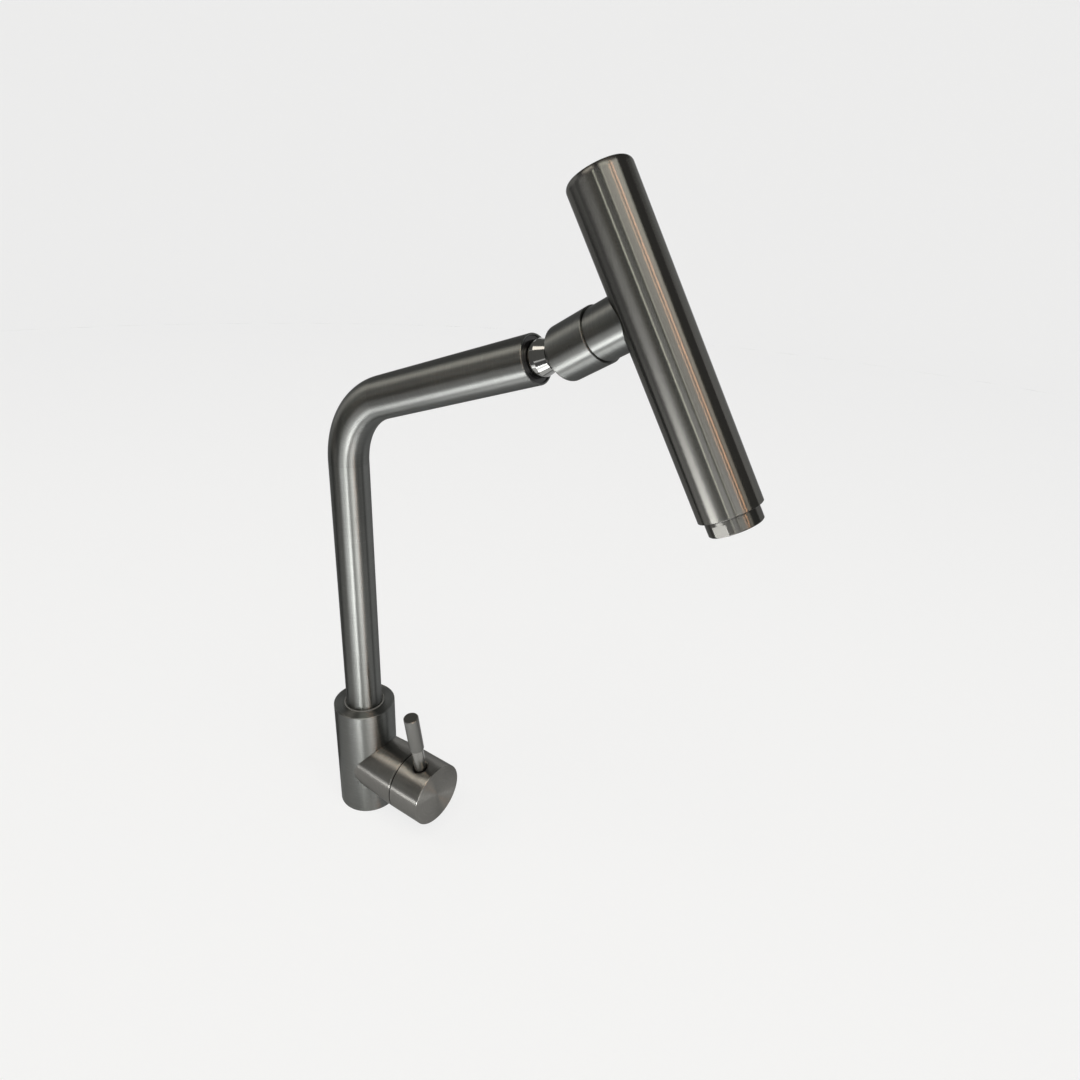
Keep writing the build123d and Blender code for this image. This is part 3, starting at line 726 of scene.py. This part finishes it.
# The light tables on the floor: brightness by azimuth in degrees about the tap's foot
NEAR_TABLE = ((-122, 0.2), (-104, 0.8), (-92, 3.4), (-76, 8.6), (-65, 15.5), (-60, 13.0), (-54, 1.6),
              (-42, 1.7), (-34, 5.0), (-24, 7.6), (-14, 6.5), (-6, 1.9), (8, 0.2))
FAR_TABLE = ((-150, 0.1), (-104, 0.1), (-92, 1.9), (-84, 1.7), (-76, 0.1), (-52, 0.1), (-42, 1.8),
             (-28, 2.2), (-18, 0.1), (30, 0.1))
BACK_TABLE = ((30, 0.1), (50, 0.62), (184, 0.62), (197, 0.95), (208, 0.95), (210, 0.2))

# The picture's lower edges on the floor: the azimuth that each faces and its distance from the tap's foot
PICTURE_EDGES = ((-54, 0.235), (-111.6, 0.27))

# Dark cloth round the studio: its azimuths in degrees, its lowest height and its distance in metres
CLOTHS = {"front_cloth": ((-150, 40), 0.0, 2.3), "back_cloth": ((40, 210), 2.0, 3.1)}


def area_lamp(name, width, height, brightness, colour, diffuse):
    """A rectangular lamp whose face has this brightness. One without diffuse shows in gloss alone."""
    light = bpy.data.lights.new(name, "AREA")
    light.shape = "RECTANGLE"
    light.size = width
    light.size_y = height
    light.energy = pi * width * height * brightness * bpy.context.scene.tap_studio.light_level
    light.color = colour
    made = bpy.data.objects.new(name, light)
    made.visible_camera = False
    made.visible_diffuse = diffuse
    bpy.context.scene.collection.objects.link(made)
    return made


def lamp(name, sides, heights, brightness, colour, diffuse):
    """A soft lamp that faces the tap and spans these angles."""
    side = radians(sum(sides) / 2)
    height = radians(sum(heights) / 2)
    away = Vector((cos(height) * cos(side), cos(height) * sin(side), sin(height)))
    wide = 2 * LAMP_DISTANCE * cos(height) * tan(radians(sides[1] - sides[0]) / 2)
    high = 2 * LAMP_DISTANCE * tan(radians(heights[1] - heights[0]) / 2)
    made = area_lamp(name, wide, high, brightness, colour, diffuse)
    made.location = STUDIO_CENTRE + away * LAMP_DISTANCE
    made.rotation_euler = (-away).to_track_quat("-Z", "Y").to_euler()


def strip(name, across, width, brightness, colour):
    """A long lamp that lies along the head, so that its reflection is a line down the head."""
    axis = HEAD.to_3x3().col[2].normalized()
    middle = HEAD.translation - axis * HEAD_MIDDLE
    view = (EYE - middle).normalized()
    front = (view - axis * view.dot(axis)).normalized()
    side = front.cross(axis)
    side = side if side.x > 0 else -side
    turn = 2 * asin(across)
    away = front * cos(turn) + side * sin(turn)
    turned = Matrix((away.cross(axis) * -1, axis, away)).transposed()
    made = area_lamp(name, width, STRIP_LENGTH, brightness, colour, diffuse=False)
    made.matrix_world = Matrix.Translation(middle + away * STRIP_DISTANCE) @ turned.to_4x4()


class TAP_OT_stage(bpy.types.Operator):
    """Make the pale floor and backdrop, the soft lamps and the camera"""
    bl_idname = "tap.stage"
    bl_label = "Stage"

    def execute(self, context):
        studio = context.scene.tap_studio
        paper = self.paper(studio)
        self.floor(paper)
        self.backdrop(paper)
        self.table("near_table", 0.0, 0.50, NEAR_TABLE, studio.table_level)
        self.table("far_table", 0.50, 2.30, FAR_TABLE, studio.table_level)
        self.table("back_table", 0.06, 2.30, BACK_TABLE, 1.0, hidden=False)
        for name, (sides, low, distance) in CLOTHS.items():
            self.cloth(name, sides, low, distance, studio.room_colour)
        world = bpy.data.worlds.new("room")
        world.use_nodes = True
        world.node_tree.nodes["Background"].inputs["Color"].default_value = (*studio.room_colour, 1.0)
        context.scene.world = world
        for name, (sides, heights, brightness, colour) in LAMPS.items():
            lamp(name, sides, heights, brightness, colour, diffuse=True)
        for name, (sides, heights, brightness, colour) in CARDS.items():
            lamp(name, sides, heights, brightness, colour, diffuse=False)
        for name, (across, width, brightness, colour) in STRIPS.items():
            strip(name, across, width, brightness, colour)
        self.camera(context)
        return {"FINISHED"}

    @staticmethod
    def paper(studio):
        """Pale paper, as pale far behind the tap as near it, that keeps the tap's shadow."""
        paper = Finish("pale paper")
        x, y, z = paper.place()
        fibre = paper.noise(x * FIBRE_WAVE, y * FIBRE_WAVE, z * FIBRE_WAVE, 2.0)
        path = paper.node("ShaderNodeLightPath")
        seen = Value(paper, path.outputs["Is Camera Ray"])
        for other in ("Is Glossy Ray", "Is Transmission Ray"):
            seen = seen.math("MAXIMUM", Value(paper, path.outputs[other]))
        sheet = paper.node("ShaderNodeBsdfPrincipled", None, {
            "Base Color": (*studio.floor_colour, 1.0), "Roughness": (fibre - 0.5) * 0.05 + 0.85,
            "Specular IOR Level": 0.0})
        glow = paper.node("ShaderNodeEmission", None, {"Color": (*studio.paper_colour, 1.0), "Strength": 1.0})
        mix = paper.node("ShaderNodeMixShader", None, {"Fac": seen * studio.paper_glow})
        paper.tree.links.new(sheet.outputs[0], mix.inputs[1])
        paper.tree.links.new(glow.outputs[0], mix.inputs[2])
        paper.node("ShaderNodeOutputMaterial", None, {"Surface": mix.outputs[0]})
        return paper.material

    @staticmethod
    def floor(material):
        """Round floor at the deck's height, in rings about the tap's foot."""
        rings = [circle(radius, FLOOR_HEIGHT, 96) for radius in (0.001, 0.3, 1.0, FLOOR_RADIUS)]
        piece = rings_mesh("floor", rings, closed=False)
        piece.data.materials.append(material)

    @staticmethod
    def backdrop(material):
        """The floor's rim curves up into a round backdrop."""
        curve = BACKDROP_CURVE
        wall = FLOOR_RADIUS + curve
        slopes = [radians(10 * step) for step in range(10)]
        rise = [(FLOOR_RADIUS + curve * sin(slope), curve * (1 - cos(slope))) for slope in slopes]
        rise += [(wall, 1.6), (wall, 2.8), (wall, BACKDROP_HEIGHT)]
        rings = [circle(radius, height + FLOOR_HEIGHT, 120) for radius, height in rise]
        piece = rings_mesh("backdrop", rings, closed=False)
        piece.data.materials.append(material)

    @staticmethod
    def only_gloss(name, points, faces, material):
        """A studio card that shows in gloss alone, so that floor and backdrop look plain."""
        mesh = bpy.data.meshes.new(name)
        mesh.from_pydata(points, [], faces)
        mesh.materials.append(material)
        piece = bpy.data.objects.new(name, mesh)
        piece.visible_camera = False
        piece.visible_diffuse = False
        piece.visible_shadow = False
        bpy.context.scene.collection.objects.link(piece)

    def cloth(self, name, sides, low, distance, colour):
        """A curved wall of dim cloth, as in a dark studio."""
        dim = Finish(name)
        glow = dim.node("ShaderNodeEmission", None, {"Color": (*colour, 1.0), "Strength": 1.0})
        dim.node("ShaderNodeOutputMaterial", None, {"Surface": glow.outputs[0]})
        parts = 40
        turns = [radians(sides[0] + (sides[1] - sides[0]) * step / parts) for step in range(parts + 1)]
        points = [(distance * cos(turn), distance * sin(turn), height)
                  for turn in turns for height in (low, BACKDROP_HEIGHT)]
        faces = [(2 * step, 2 * step + 2, 2 * step + 3, 2 * step + 1) for step in range(parts)]
        self.only_gloss(name, points, faces, dim.material)

    def table(self, name, near, far, grades, level, hidden=True):
        """A graded light panel that lies on the floor. A hidden one keeps outside the picture."""
        glow = Finish(name)
        x, y, z = glow.place()
        turn = y.angle_to(x) * (180 / pi)
        first, last = grades[0][0], grades[-1][0]
        brightest = max(grade for _, grade in grades)
        stops = []
        for side, grade in grades:
            share = grade / brightest
            stops.append(((side - first) / (last - first), (share, share, share, 1.0)))
        ramp = glow.node("ShaderNodeValToRGB", {"stops": stops}, {"Fac": turn.between(first, last)})
        light = glow.node("ShaderNodeEmission", None, {
            "Color": ramp.outputs["Color"], "Strength": brightest * level})
        glow.node("ShaderNodeOutputMaterial", None, {"Surface": light.outputs[0]})
        parts = 60
        least_cosine = 0.05
        least_width = 0.01
        inner = []
        outer = []
        for step in range(parts + 1):
            way = radians(first + (last - first) * step / parts)
            start = near
            if hidden:
                edges = [away / max(cos(way - radians(side)), least_cosine) for side, away in PICTURE_EDGES]
                start = max(min(*edges, far - least_width), near)
            inner.append((start * cos(way), start * sin(way), TABLE_HEIGHT))
            outer.append((far * cos(way), far * sin(way), TABLE_HEIGHT))
        faces = [(step, step + parts + 1, step + parts + 2, step + 1) for step in range(parts)]
        self.only_gloss(name, inner + outer, faces, glow.material)

    @staticmethod
    def camera(context):
        """The camera that a fit to the photograph's outlines gives."""
        photo = 1080
        focal = 717.475
        centre = (542.0, 536.9)
        right = Vector((0.82434, 0.56381, 0.05084))
        up = Vector((-0.27528, 0.32077, 0.90627))
        forward = Vector((-0.49466, 0.76107, -0.41963))
        turn = Matrix((right, up, -forward)).transposed()
        lens = bpy.data.cameras.new("camera")
        lens.sensor_width = 36.0
        lens.lens = lens.sensor_width * focal / photo
        lens.shift_x = (photo / 2 - centre[0]) / photo
        lens.shift_y = (centre[1] - photo / 2) / photo
        lens.clip_start = 0.01
        eye = bpy.data.objects.new("camera", lens)
        eye.matrix_world = Matrix.Translation(EYE) @ turn.to_4x4()
        context.scene.collection.objects.link(eye)
        context.scene.camera = eye
        context.scene.view_settings.view_transform = "Standard"


class TAP_PT_panel(bpy.types.Panel):
    """The tap's settings and its steps, in the order that they run"""
    bl_idname = "TAP_PT_panel"
    bl_label = "Mixer tap"
    bl_space_type = "VIEW_3D"
    bl_region_type = "UI"
    bl_category = "Tap"

    def draw(self, context):
        layout = self.layout
        for group in (context.scene.tap_sizes, context.scene.tap_finish, context.scene.tap_studio):
            box = layout.box()
            for name in group.__annotations__:
                box.prop(group, name)
        for step in STEPS:
            layout.operator(step.bl_idname)


STEPS = (TAP_OT_body, TAP_OT_handle, TAP_OT_spout, TAP_OT_joint, TAP_OT_head, TAP_OT_inside, TAP_OT_stage)
CLASSES = (TapSizes, TapFinish, TapStudio) + STEPS + (TAP_PT_panel,)


def register():
    for made in CLASSES:
        bpy.utils.register_class(made)
    bpy.types.Scene.tap_sizes = bpy.props.PointerProperty(type=TapSizes)
    bpy.types.Scene.tap_finish = bpy.props.PointerProperty(type=TapFinish)
    bpy.types.Scene.tap_studio = bpy.props.PointerProperty(type=TapStudio)


def unregister():
    del bpy.types.Scene.tap_studio
    del bpy.types.Scene.tap_finish
    del bpy.types.Scene.tap_sizes
    for made in reversed(CLASSES):
        bpy.utils.unregister_class(made)


def main():
    register()
    bpy.ops.tap.body()
    bpy.ops.tap.handle()
    bpy.ops.tap.spout()
    bpy.ops.tap.joint()
    bpy.ops.tap.head()
    bpy.ops.tap.inside()
    bpy.ops.tap.stage()


if __name__ == "__main__":
    main()
